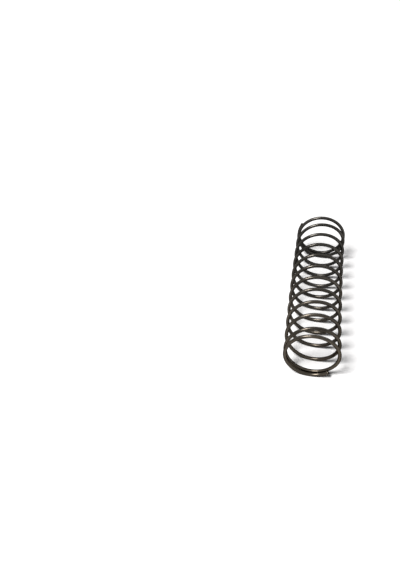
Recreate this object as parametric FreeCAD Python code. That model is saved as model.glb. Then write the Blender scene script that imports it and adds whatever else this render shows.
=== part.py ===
import FreeCAD, Part
import math
import os
from FreeCAD import Vector

# A cold-wound compression spring of round wire, in millimetres. It is wound right-handed. Both ends
# are closed, each with the tip of the wire laid back against the next turn, and left unground.
# It lies on its side: the coil's axis runs along Y at half its diameter above the plane Z = 0,
# and the origin is on that plane, below the middle of its length. The front end faces -Y.
# Turns are counted along the wire from the front tip.

# The wire and the coil
wire_diameter = 1.5
outside_diameter = 23.0
free_length = 83.0
total_turns = 12.45

# How far the coil's axis bows sideways: both its ends stand this much further to +X than its middle.
# The coil touches the surface it lies on all along this bow, which keeps it from rolling.
bow = 0.45

# Each end: the gap left between the tip and the next turn, the turns that keep the closing pitch,
# and the turns over which the pitch then grows to that of the active coils
tip_gap = 0.12
closed_turns = 0.5
opening_turns = 1.3

# The wire springs back where it is cut off, so that this length of it at each tip is straight
straight_tip = 2.2

# Where the front tip stands round the coil, in degrees from +X towards +Z
front_tip_angle = 313.0

# The wire's path is a chain of tangent arcs in pairs, this many pairs to a turn
arc_pairs_per_turn = 6

mean_radius = (outside_diameter - wire_diameter) / 2
axis_height = outside_diameter / 2
half_turns = total_turns / 2
half_travel = (free_length - wire_diameter) / 2
straight_turns = straight_tip / (2 * math.pi * mean_radius)


def opened_turns(turn):
    """Turns of full opening gained by this turn, counted from the nearer end.

    The pitch stays closed, then grows along a smooth step, then stays at that of the active coils.
    """
    step = (turn - closed_turns) / opening_turns
    if step <= 0:
        return 0.0
    if step < 1:
        return opening_turns * (step**3 - step**4 / 2)
    return opening_turns * (step - 0.5)


def opened_share(turn):
    """How open the pitch is at this turn, from 0 where it is closed to 1."""
    step = min(max((turn - closed_turns) / opening_turns, 0.0), 1.0)
    return step * step * (3 - 2 * step)


# One turn in from the tip the wire has moved on by its own thickness and the gap, and at the middle
# turn by half the length. These two places give the closing pitch and what the active pitch adds.
first_advance = wire_diameter + tip_gap
added_pitch = (half_travel - half_turns * first_advance) / (
    opened_turns(half_turns) - half_turns * opened_turns(1)
)
closing_pitch = first_advance - added_pitch * opened_turns(1)
active_pitch = closing_pitch + added_pitch


def travel(turn):
    """Distance along the axis from the nearer end."""
    return closing_pitch * turn + added_pitch * opened_turns(turn)


def station(turn):
    """The wire's centre at this turn from the front tip, and the direction in which it runs on."""
    angle = math.radians(front_tip_angle - 360 * turn)
    if turn <= half_turns:
        y = travel(turn) - half_travel
    else:
        y = half_travel - travel(total_turns - turn)
    pitch = closing_pitch + added_pitch * opened_share(min(turn, total_turns - turn))
    axis_x = bow * ((y / half_travel) ** 2 - 0.5)
    drift = bow * 2 * y / half_travel**2 * pitch
    centre = Vector(axis_x + mean_radius * math.cos(angle), y, axis_height + mean_radius * math.sin(angle))
    around = 2 * math.pi * mean_radius
    heading = Vector(drift + around * math.sin(angle), pitch, -around * math.cos(angle))
    return centre, heading.normalize()


def arc_from(start, heading, finish):
    """The arc that leaves its start along the heading and ends at the finish."""
    chord = finish - start
    along = Vector(chord).normalize()
    across = heading - along * heading.dot(along)
    bend = math.atan2(across.Length, heading.dot(along))
    rise = chord.Length / 2 * math.tan(bend / 2)
    middle = start + chord * 0.5 + across.normalize() * rise
    return Part.Arc(start, middle, finish).toShape()


def arc_pair(start, finish):
    """Two arcs that join two stations, tangent to the wire at both and to each other where they meet."""
    (here, heading), (there, last_heading) = start, finish
    gap = there - here
    # Equal tangent lengths at both ends: the root of a quadratic
    a = 2 * (1 - heading.dot(last_heading))
    b = 2 * gap.dot(heading + last_heading)
    reach = (math.sqrt(b * b + 4 * a * gap.dot(gap)) - b) / (2 * a)
    inner = here + heading * reach
    outer = there - last_heading * reach
    joint = (inner + outer) * 0.5
    return [arc_from(here, heading, joint), arc_from(joint, (outer - inner).normalize(), there)]


def spring_wire():
    """The whole spring: a disc as thick as the wire, carried along the coil from tip to tip."""
    round_turns = total_turns - 2 * straight_turns
    pairs = round(round_turns * arc_pairs_per_turn)
    stations = [station(straight_turns + round_turns * i / pairs) for i in range(pairs + 1)]
    arcs = []
    for start, finish in zip(stations, stations[1:]):
        arcs += arc_pair(start, finish)
    first, heading = stations[0]
    last, last_heading = stations[-1]
    front_tip = first - heading * straight_tip
    rear_tip = last + last_heading * straight_tip
    path = Part.Wire([Part.makeLine(front_tip, first)] + arcs + [Part.makeLine(last, rear_tip)])
    section = Part.Face(Part.Wire([Part.Circle(front_tip, heading, wire_diameter / 2).toShape()]))
    spring = path.makePipe(section)
    exact = section.Area * path.Length
    print("wire length", round(path.Length, 1), "active pitch", round(active_pitch, 3))
    print("closing pitch", round(closing_pitch, 3), "volume", round(spring.Volume, 2), "of", round(exact, 2))
    return spring


os.makedirs("parts", exist_ok=True)
spring_wire().exportStep("parts/spring_wire.step")
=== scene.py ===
import math

import bpy
from mathutils import Matrix, Vector


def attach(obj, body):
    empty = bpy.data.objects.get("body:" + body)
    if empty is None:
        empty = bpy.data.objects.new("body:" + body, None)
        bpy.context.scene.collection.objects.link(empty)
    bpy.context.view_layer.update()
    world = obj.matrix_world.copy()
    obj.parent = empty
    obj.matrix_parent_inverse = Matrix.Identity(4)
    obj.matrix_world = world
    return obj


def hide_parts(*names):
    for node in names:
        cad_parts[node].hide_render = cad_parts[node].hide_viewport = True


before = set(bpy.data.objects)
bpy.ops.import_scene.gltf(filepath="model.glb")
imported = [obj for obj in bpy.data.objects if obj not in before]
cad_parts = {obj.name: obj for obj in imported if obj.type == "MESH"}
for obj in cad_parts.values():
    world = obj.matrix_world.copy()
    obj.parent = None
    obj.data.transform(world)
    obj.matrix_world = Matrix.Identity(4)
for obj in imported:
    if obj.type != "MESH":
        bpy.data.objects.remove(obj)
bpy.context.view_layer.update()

MM = 0.001

# The spring, with the sizes of the solid it stands for. Its ends stand further to +X than its middle
# by the bow, and the front tip's angle round the coil is taken from +X towards +Z.
WIRE_DIAMETER = 1.5 * MM
OUTSIDE_DIAMETER = 23 * MM
FREE_LENGTH = 83 * MM
TOTAL_TURNS = 12.45
BOW = 0.45 * MM
FRONT_TIP_ANGLE = math.radians(313)

# Each end: the gap between the tip and the next turn, the turns that stay closed, the turns over
# which the pitch then opens, and the length of wire at the tip that is straight
TIP_GAP = 0.12 * MM
CLOSED_TURNS = 0.5
OPENING_TURNS = 1.3
STRAIGHT_TIP = 2.2 * MM

# The drawn mesh: rings of points along the wire, set closer together next to both cuts
RINGS_PER_TURN = 120
WIRE_SIDES = 28
RINGS_AT_CUT = 10
CUT_STRETCH = 0.6 * MM

# The shears press the wire in on one side before it parts, and leave the cut a little aslant
CUT_SLANT = 0.09
CUT_ROLLOVER = 0.07 * MM

# The steel under thick, plain and thin oxide, and where bare metal shows: in the lines that the die
# has drawn and where the outer side is rubbed; the cuts are rougher sheared steel, darkened as
# painted shade
THICK_OXIDE = (0.019, 0.018, 0.0165, 1)
PLAIN_OXIDE = (0.047, 0.0445, 0.0405, 1)
THIN_OXIDE = (0.083, 0.079, 0.072, 1)
DIE_LINE_STEEL = (0.140, 0.131, 0.118, 1)
RUBBED_STEEL = (0.150, 0.140, 0.125, 1)
SHEARED_STEEL_WITH_PAINTED_SHADE = (0.075, 0.070, 0.064, 1)

# The wire is browner and lighter towards the front tip: the tint is whole up to the first of these
# lengths from the front tip, and gone from the second
BROWN_TINT = (1.64, 1.47, 1.28, 1)
BROWN_WHOLE = 84 * MM
BROWN_GONE = 644 * MM

# The outer side is rubbed from this share of the wire's radius outwards
RUB_STARTS = 0.80

# How deep the die lines and the grain are cut into the surface
BUMP_HEIGHT = 0.012 * MM

# The paper as the light meets it and as the eye sees it, a little overexposed, and half its width
PAPER_LIT = (0.93, 0.93, 0.935, 1)
PAPER_SEEN = (1.12, 1.12, 1.13, 1)
PAPER_REACH = 6.0

# The room's own dim light, the background, and one broad window to the front left
ROOM = {"Color": (0.92, 0.95, 1.0, 1), "Strength": 0.06}
BACKGROUND = {"Color": (0.98, 0.99, 1.0, 1), "Strength": 0.8}
TOWARDS_WINDOW = Vector((-0.47, -0.457, 1.0))
WINDOW_SPREAD = math.radians(22)
WINDOW_POWER = 3.9
WINDOW_COLOUR = (1.0, 0.99, 0.975)

# The camera, from fitting the coil's outline: it looks to the left by the yaw, down by the pitch, and
# is turned about its view by the roll
CAMERA_PLACE = Vector((-10.163, -206.425, 192.393)) * MM
CAMERA_YAW = math.radians(11.687)
CAMERA_PITCH = math.radians(41.543)
CAMERA_ROLL = math.radians(-1.062)
FOCAL_PIXELS = 606.492
PICTURE_HEIGHT_PIXELS = 570
SENSOR_MM = 36


class Trail:
    """An output socket of a node. Sums, products and powers of trails add Math nodes."""

    def __init__(self, bench, socket):
        self.bench = bench
        self.socket = socket

    def math(self, operation, *values):
        settings = {"operation": operation}
        return self.bench.add("ShaderNodeMath", settings, dict(enumerate((self, *values))))["Value"]

    def __add__(self, other):
        return self.math("ADD", other)

    def __radd__(self, other):
        return self.math("ADD", other)

    def __sub__(self, other):
        return self.math("SUBTRACT", other)

    def __rsub__(self, other):
        return (self * -1).math("ADD", other)

    def __mul__(self, other):
        return self.math("MULTIPLY", other)

    def __rmul__(self, other):
        return self.math("MULTIPLY", other)

    def __truediv__(self, other):
        return self.math("DIVIDE", other)

    def __pow__(self, other):
        return self.math("POWER", other)

    def least(self, other):
        return self.math("MINIMUM", other)

    def most(self, other):
        return self.math("MAXIMUM", other)

    def kept_between(self, low, high):
        return self.most(low).least(high)

    def rise(self, start, finish):
        """0 up to the start, 1 from the finish on, and even steps between them."""
        return ((self - start) / (finish - start)).kept_between(0, 1)


class Bench:
    """A node tree to which nodes are added, each with its settings first and then its sockets."""

    def __init__(self, tree):
        self.tree = tree

    def add(self, kind, settings=None, sockets=None):
        node = self.tree.nodes.new(kind)
        for name, value in (settings or {}).items():
            if name == "stops":
                self.set_stops(node.color_ramp, value)
            else:
                setattr(node, name, value)
        for key, value in (sockets or {}).items():
            socket = node.inputs[key] if isinstance(key, int) else self.enabled(node.inputs, key)
            if isinstance(value, Trail):
                self.tree.links.new(value.socket, socket)
            else:
                socket.default_value = value
        return {socket.name: Trail(self, socket) for socket in node.outputs if socket.enabled}

    @staticmethod
    def enabled(sockets, name):
        return next(socket for socket in sockets if socket.enabled and socket.name == name)

    @staticmethod
    def set_stops(ramp, stops):
        while len(ramp.elements) < len(stops):
            ramp.elements.new(0.5)
        for element, (place, colour) in zip(ramp.elements, stops):
            element.position = place
            element.color = colour

    def parts(self, vector):
        return self.add("ShaderNodeSeparateXYZ", None, {"Vector": vector})

    def vector(self, **parts):
        return self.add("ShaderNodeCombineXYZ", None, parts)["Vector"]

    def vector_math(self, operation, sockets):
        return self.add("ShaderNodeVectorMath", {"operation": operation}, sockets)["Vector"]

    def position(self):
        return self.add("GeometryNodeInputPosition")["Position"]

    def keep(self, geometry, name, value, data_type="FLOAT", domain="POINT"):
        """The geometry with this value kept by name on each of its points or faces."""
        settings = {"data_type": data_type, "domain": domain}
        sockets = {"Geometry": geometry, "Name": name, "Value": value}
        return self.add("GeometryNodeStoreNamedAttribute", settings, sockets)["Geometry"]

    def kept(self, name, data_type="FLOAT"):
        """What was kept by this name."""
        settings = {"data_type": data_type}
        return self.add("GeometryNodeInputNamedAttribute", settings, {"Name": name})["Attribute"]

    def mixed(self, factor, first, second, blend_type="MIX"):
        settings = {"data_type": "RGBA", "blend_type": blend_type}
        sockets = {"Factor": factor, "A": first, "B": second}
        return self.add("ShaderNodeMix", settings, sockets)["Result"]


def cleared_bench(owner):
    """The bench of a material or world, with its node tree emptied."""
    owner.use_nodes = True
    owner.node_tree.nodes.clear()
    return Bench(owner.node_tree)


def placed(name, data):
    """A new object at the origin, in the scene."""
    piece = bpy.data.objects.new(name, data)
    bpy.context.scene.collection.objects.link(piece)
    return piece


def opened_turns(turn):
    """Turns of full opening gained by this turn, counted from the nearer end."""
    step = min(max((turn - CLOSED_TURNS) / OPENING_TURNS, 0), 1)
    return OPENING_TURNS * (step**3 - step**4 / 2) + max(turn - CLOSED_TURNS - OPENING_TURNS, 0)


def pitches():
    """The pitch of the closed end turns, and what the active turns add to it."""
    half_turns = TOTAL_TURNS / 2
    half_travel = (FREE_LENGTH - WIRE_DIAMETER) / 2
    first_advance = WIRE_DIAMETER + TIP_GAP
    added = (half_travel - half_turns * first_advance) / (
        opened_turns(half_turns) - half_turns * opened_turns(1)
    )
    return first_advance - added * opened_turns(1), added


def winding_sizes(steel):
    """The named inputs of the winding: counts, metres, turns, the tip's angle and the steel."""
    coil_radius = (OUTSIDE_DIAMETER - WIRE_DIAMETER) / 2
    closing_pitch, added_pitch = pitches()
    return {
        "Rings": 2 * round(TOTAL_TURNS * RINGS_PER_TURN / 2) + 1,
        "Wire Sides": WIRE_SIDES,
        "Wire Radius": WIRE_DIAMETER / 2,
        "Coil Radius": coil_radius,
        "Axis Height": OUTSIDE_DIAMETER / 2,
        "Half Travel": (FREE_LENGTH - WIRE_DIAMETER) / 2,
        "Turns": TOTAL_TURNS,
        "Closing Pitch": closing_pitch,
        "Added Pitch": added_pitch,
        "Closed Turns": CLOSED_TURNS,
        "Opening Turns": OPENING_TURNS,
        "Straight Turns": STRAIGHT_TIP / (math.tau * coil_radius),
        "Front Tip Angle": FRONT_TIP_ANGLE,
        "Bow": BOW,
        "Rings at Cut": float(RINGS_AT_CUT),
        "Cut Turns": CUT_STRETCH / (math.tau * coil_radius),
        "Cut Slant": CUT_SLANT,
        "Cut Rollover": CUT_ROLLOVER,
        "Steel": steel,
    }


def wound_path(bench, given):
    """The wire's centre line as a curve of rings, which keep what the cuts and the finish need."""
    turns = given["Turns"]
    line = bench.add("GeometryNodeCurvePrimitiveLine")["Curve"]
    rings = bench.add(
        "GeometryNodeResampleCurve", {"mode": "COUNT"}, {"Curve": line, "Count": given["Rings"]}
    )["Curve"]

    # Turns from the nearer tip at each ring: growing steps by the cut, then even ones
    ring = bench.add("GeometryNodeInputIndex")["Index"]
    last_ring = given["Rings"] - 1
    from_tip = ring.least(last_ring - ring)
    close_rings = given["Rings at Cut"]
    even_step = (turns / 2 - given["Cut Turns"]) / (last_ring / 2 - close_rings)
    close_turns = (from_tip / close_rings).least(1) ** 2 * given["Cut Turns"]
    nearer = close_turns + (from_tip - close_rings).most(0) * even_step
    side = (ring - last_ring / 2).math("SIGN")
    turn = turns / 2 + side * (turns / 2 - nearer)

    # The way along the axis: closed, then opening along a smooth step, then the active pitch
    step = ((nearer - given["Closed Turns"]) / given["Opening Turns"]).kept_between(0, 1)
    past_opening = (nearer - given["Closed Turns"] - given["Opening Turns"]).most(0)
    opened = given["Opening Turns"] * (step**3 - step**4 / 2) + past_opening
    travel = given["Closing Pitch"] * nearer + given["Added Pitch"] * opened
    y = side * (given["Half Travel"] - travel)
    axis_x = given["Bow"] * ((y / given["Half Travel"]) ** 2 - 0.5)

    # Round the axis, and straight on along the tangent at both tips
    round_turn = turn.kept_between(given["Straight Turns"], turns - given["Straight Turns"])
    angle = given["Front Tip Angle"] - round_turn * math.tau
    beyond = (turn - round_turn) * math.tau
    cosine = angle.math("COSINE")
    sine = angle.math("SINE")
    x = axis_x + given["Coil Radius"] * (cosine + beyond * sine)
    z = given["Axis Height"] + given["Coil Radius"] * (sine - beyond * cosine)

    rings = bench.keep(rings, "along", turn * given["Coil Radius"] * math.tau)
    rings = bench.keep(rings, "from_cut", nearer * given["Coil Radius"] * math.tau)
    rings = bench.keep(rings, "end", side)
    place = bench.vector(X=x, Y=y, Z=z)
    path = bench.add(
        "GeometryNodeSetPosition", None, {"Geometry": rings, "Position": place}
    )["Geometry"]
    outward = bench.vector(X=cosine, Z=sine)
    path = bench.add(
        "GeometryNodeSetCurveNormal", {"mode": "FREE"}, {"Curve": path, "Normal": outward}
    )["Curve"]
    heading = bench.add("GeometryNodeInputTangent")["Tangent"]
    path = bench.keep(path, "heading", heading, "FLOAT_VECTOR")
    return bench.keep(path, "core", bench.position(), "FLOAT_VECTOR")


def wire_along(bench, given, path):
    """A capped round wire along the path, and which of its faces are the cuts.

    Each point keeps its place in the wire before winding: across it, across it, and along it.
    """
    section = bench.add(
        "GeometryNodeCurvePrimitiveCircle",
        {"mode": "RADIUS"},
        {"Resolution": given["Wire Sides"], "Radius": given["Wire Radius"]},
    )["Curve"]
    section = bench.keep(section, "section", bench.position(), "FLOAT_VECTOR")
    wire = bench.add(
        "GeometryNodeCurveToMesh", None, {"Curve": path, "Profile Curve": section, "Fill Caps": True}
    )["Mesh"]
    across = bench.parts(bench.kept("section", "FLOAT_VECTOR"))
    unwound = bench.vector(X=across["X"], Y=across["Y"], Z=bench.kept("along"))
    wire = bench.keep(wire, "unwound", unwound, "FLOAT_VECTOR")
    cuts = bench.add("GeometryNodeInputMeshFaceNeighbors")["Vertex Count"].math("GREATER_THAN", 4)
    return bench.keep(wire, "cut_face", cuts, domain="FACE"), cuts


def with_sheared_ends(bench, given, wire):
    """The wire with its ends cut aslant, and pressed in on the side where the blade came down."""
    stretch = given["Cut Turns"] * given["Coil Radius"] * math.tau
    fade = (1 - bench.kept("from_cut") / stretch).most(0)
    across = bench.parts(bench.kept("section", "FLOAT_VECTOR"))
    pressed = (across["Y"] / given["Wire Radius"] + 1) / 2
    inward = bench.kept("end") * -1 * fade * pressed * given["Wire Radius"] * 2 * given["Cut Slant"]
    heading = bench.kept("heading", "FLOAT_VECTOR")
    slant = bench.vector_math("SCALE", {"Vector": heading, "Scale": inward})
    squeeze = fade**4 * pressed**2 * given["Cut Rollover"] / given["Wire Radius"]
    core = bench.kept("core", "FLOAT_VECTOR")
    to_core = bench.vector_math("SUBTRACT", {0: core, 1: bench.position()})
    rollover = bench.vector_math("SCALE", {"Vector": to_core, "Scale": squeeze})
    shift = bench.vector_math("ADD", {0: slant, 1: rollover})
    return bench.add("GeometryNodeSetPosition", None, {"Geometry": wire, "Offset": shift})["Geometry"]


def wound_wire_tree(sizes):
    """Geometry nodes that wind a wire into a spring with closed ends and sheared tips."""
    tree = bpy.data.node_groups.new("wound_wire", "GeometryNodeTree")
    kinds = {
        int: "NodeSocketInt",
        float: "NodeSocketFloat",
        bpy.types.Material: "NodeSocketMaterial",
    }
    for name, value in sizes.items():
        tree.interface.new_socket(name, in_out="INPUT", socket_type=kinds[type(value)])
    tree.interface.new_socket("Spring", in_out="OUTPUT", socket_type="NodeSocketGeometry")

    bench = Bench(tree)
    given = bench.add("NodeGroupInput")
    wire, cuts = wire_along(bench, given, wound_path(bench, given))
    wire = with_sheared_ends(bench, given, wire)
    for name in ("along", "from_cut", "end", "heading", "core", "section"):
        sockets = {"Geometry": wire, "Name": name}
        wire = bench.add("GeometryNodeRemoveAttribute", None, sockets)["Geometry"]
    wire = bench.add(
        "GeometryNodeSetShadeSmooth",
        {"domain": "FACE"},
        {"Geometry": wire, "Shade Smooth": cuts.math("LESS_THAN", 0.5)},
    )["Geometry"]
    wire = bench.add("GeometryNodeRealizeInstances", None, {"Geometry": wire})["Geometry"]
    wire = bench.add(
        "GeometryNodeSetMaterial", None, {"Geometry": wire, "Material": given["Steel"]}
    )["Geometry"]
    bench.add("NodeGroupOutput", None, {"Spring": wire})
    return tree


def spring_steel():
    """Dark hard-drawn spring steel: die lines along it, oxide, a rubbed outer side, rougher cuts
    darkened as painted shade.
    """
    material = bpy.data.materials.new("spring_steel_drawn")
    bench = cleared_bench(material)
    place = bench.add("ShaderNodeAttribute", {"attribute_name": "unwound"})["Vector"]
    cut = bench.add("ShaderNodeAttribute", {"attribute_name": "cut_face"})["Fac"]

    def stretched(across, along, detail, roughness=0.5):
        """Noise whose grains are this wide across the wire and this long along it, in metres."""
        grains = bench.add(
            "ShaderNodeMapping",
            {"vector_type": "POINT"},
            {"Vector": place, "Scale": (1 / across, 1 / across, 1 / along)},
        )["Vector"]
        sockets = {"Vector": grains, "Scale": 1.0, "Detail": detail, "Roughness": roughness}
        return bench.add("ShaderNodeTexNoise", None, sockets)["Fac"]

    die_lines = stretched(across=0.09 * MM, along=22 * MM, detail=3)
    broad_lines = stretched(across=0.35 * MM, along=60 * MM, detail=2)
    oxide = stretched(across=1.6 * MM, along=7 * MM, detail=4, roughness=0.6)
    grain = stretched(across=0.06 * MM, along=0.12 * MM, detail=3, roughness=0.65)

    # Where the wire is rubbed, by its side and by the broad lines, and how brown it is
    parts = bench.parts(place)
    outwards = parts["X"] / (WIRE_DIAMETER / 2)
    rubbed = outwards.rise(RUB_STARTS, 1) * (broad_lines * 2.2 - 0.6).kept_between(0, 1)
    brown = (1 - parts["Z"].rise(BROWN_WHOLE, BROWN_GONE)) * (oxide * 0.9 + 0.55).least(1)

    # Oxide from thick to thin, browner towards the front tip, then bare metal where it shows, and the
    # cuts in sheared steel darkened as painted shade
    stops = ((0.30, THICK_OXIDE), (0.52, PLAIN_OXIDE), (0.72, THIN_OXIDE))
    thinness = oxide * 0.55 + broad_lines * 0.25 + die_lines * 0.20
    colour = bench.add("ShaderNodeValToRGB", {"stops": stops}, {"Fac": thinness})["Color"]
    colour = bench.mixed(brown, colour, BROWN_TINT, "MULTIPLY")
    colour = bench.mixed(die_lines.rise(0.55, 0.75) * 0.55, colour, DIE_LINE_STEEL)
    colour = bench.mixed(rubbed * 0.6, colour, RUBBED_STEEL)
    # The cuts take the sheared steel's colour, darkened to paint the shade on the cut faces
    colour = bench.mixed(cut, colour, SHEARED_STEEL_WITH_PAINTED_SHADE)

    roughness = 0.02 + oxide * 0.18 + die_lines * 0.22 - rubbed * 0.03 + cut * 0.15
    height = die_lines * 0.6 + grain * 0.4 + cut * grain
    bump = bench.add(
        "ShaderNodeBump", None, {"Strength": 0.3, "Distance": BUMP_HEIGHT, "Height": height}
    )["Normal"]
    shader = bench.add(
        "ShaderNodeBsdfPrincipled",
        None,
        {
            "Base Color": colour,
            "Metallic": 1.0,
            "Roughness": roughness,
            "Specular Tint": (0, 0, 0, 1),
            "Normal": bump,
        },
    )["BSDF"]
    bench.add("ShaderNodeOutputMaterial", None, {"Surface": shader})
    return material


def wind_spring(steel):
    """The spring as a plain mesh in its place, wound by the geometry nodes."""
    spring = placed("spring_wire_drawn", bpy.data.meshes.new("spring_wire_drawn"))
    sizes = winding_sizes(steel)
    winding = spring.modifiers.new("winding", "NODES")
    winding.node_group = wound_wire_tree(sizes)
    for name, value in sizes.items():
        winding[winding.node_group.interface.items_tree[name].identifier] = value
    depsgraph = bpy.context.evaluated_depsgraph_get()
    plain = bpy.data.meshes.new_from_object(
        spring.evaluated_get(depsgraph), preserve_all_data_layers=True, depsgraph=depsgraph
    )
    spring.modifiers.remove(winding)
    spring.data = plain
    plain.name = "spring_wire_drawn"
    return spring


def seen_directly(bench):
    """1 where the eye, a reflection or a view through something meets the surface, 0 for light."""
    ray = bench.add("ShaderNodeLightPath")
    return (ray["Is Camera Ray"] + ray["Is Glossy Ray"] + ray["Is Transmission Ray"]).least(1)


def paper_floor():
    """A plain white sheet that the spring lies on."""
    material = bpy.data.materials.new("white_paper")
    bench = cleared_bench(material)
    lit = bench.add("ShaderNodeBsdfDiffuse", None, {"Color": PAPER_LIT})["BSDF"]
    seen = bench.add("ShaderNodeBsdfDiffuse", None, {"Color": PAPER_SEEN})["BSDF"]
    direct = seen_directly(bench)
    shader = bench.add("ShaderNodeMixShader", None, {0: direct, 1: lit, 2: seen})["Shader"]
    bench.add("ShaderNodeOutputMaterial", None, {"Surface": shader})
    corners = [(x * PAPER_REACH, y * PAPER_REACH, 0) for x, y in ((-1, -1), (1, -1), (1, 1), (-1, 1))]
    sheet = bpy.data.meshes.new("paper_floor")
    sheet.from_pydata(corners, [], [(0, 1, 2, 3)])
    sheet.materials.append(material)
    placed("paper_floor", sheet)


def studio():
    """A dim room with a pale background, and the window as a far, broad and even light."""
    world = bpy.data.worlds.new("studio")
    bench = cleared_bench(world)
    room = bench.add("ShaderNodeBackground", None, ROOM)["Background"]
    pale = bench.add("ShaderNodeBackground", None, BACKGROUND)["Background"]
    direct = seen_directly(bench)
    shader = bench.add("ShaderNodeMixShader", None, {0: direct, 1: room, 2: pale})["Shader"]
    bench.add("ShaderNodeOutputWorld", None, {"Surface": shader})
    bpy.context.scene.world = world

    lamp = bpy.data.lights.new("window_left", "SUN")
    lamp.angle = WINDOW_SPREAD
    lamp.energy = WINDOW_POWER
    lamp.color = WINDOW_COLOUR
    window = placed("window_left", lamp)
    window.location = TOWARDS_WINDOW
    window.rotation_mode = "QUATERNION"
    window.rotation_quaternion = (-TOWARDS_WINDOW).to_track_quat("-Z", "Y")


def photograph_camera():
    """The camera at the photograph's place and angle."""
    level = Vector((-math.sin(CAMERA_YAW), math.cos(CAMERA_YAW), 0))
    forward = level * math.cos(CAMERA_PITCH) - Vector((0, 0, math.sin(CAMERA_PITCH)))
    right = Vector((math.cos(CAMERA_YAW), math.sin(CAMERA_YAW), 0))
    up = right.cross(forward)
    rolled_right = right * math.cos(CAMERA_ROLL) + up * math.sin(CAMERA_ROLL)
    rolled_up = up * math.cos(CAMERA_ROLL) - right * math.sin(CAMERA_ROLL)
    turned = Matrix((rolled_right, rolled_up, -forward)).transposed().to_4x4()
    lens = bpy.data.cameras.new("camera")
    lens.sensor_width = SENSOR_MM
    lens.lens = FOCAL_PIXELS * SENSOR_MM / PICTURE_HEIGHT_PIXELS
    lens.clip_start = 0.01
    lens.clip_end = 10
    camera = placed("camera", lens)
    camera.matrix_world = Matrix.Translation(CAMERA_PLACE) @ turned
    bpy.context.scene.camera = camera


spring = wind_spring(spring_steel())
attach(spring, "root")
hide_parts("spring_wire")
paper_floor()
studio()
photograph_camera()
bpy.context.scene.view_settings.view_transform = "Standard"
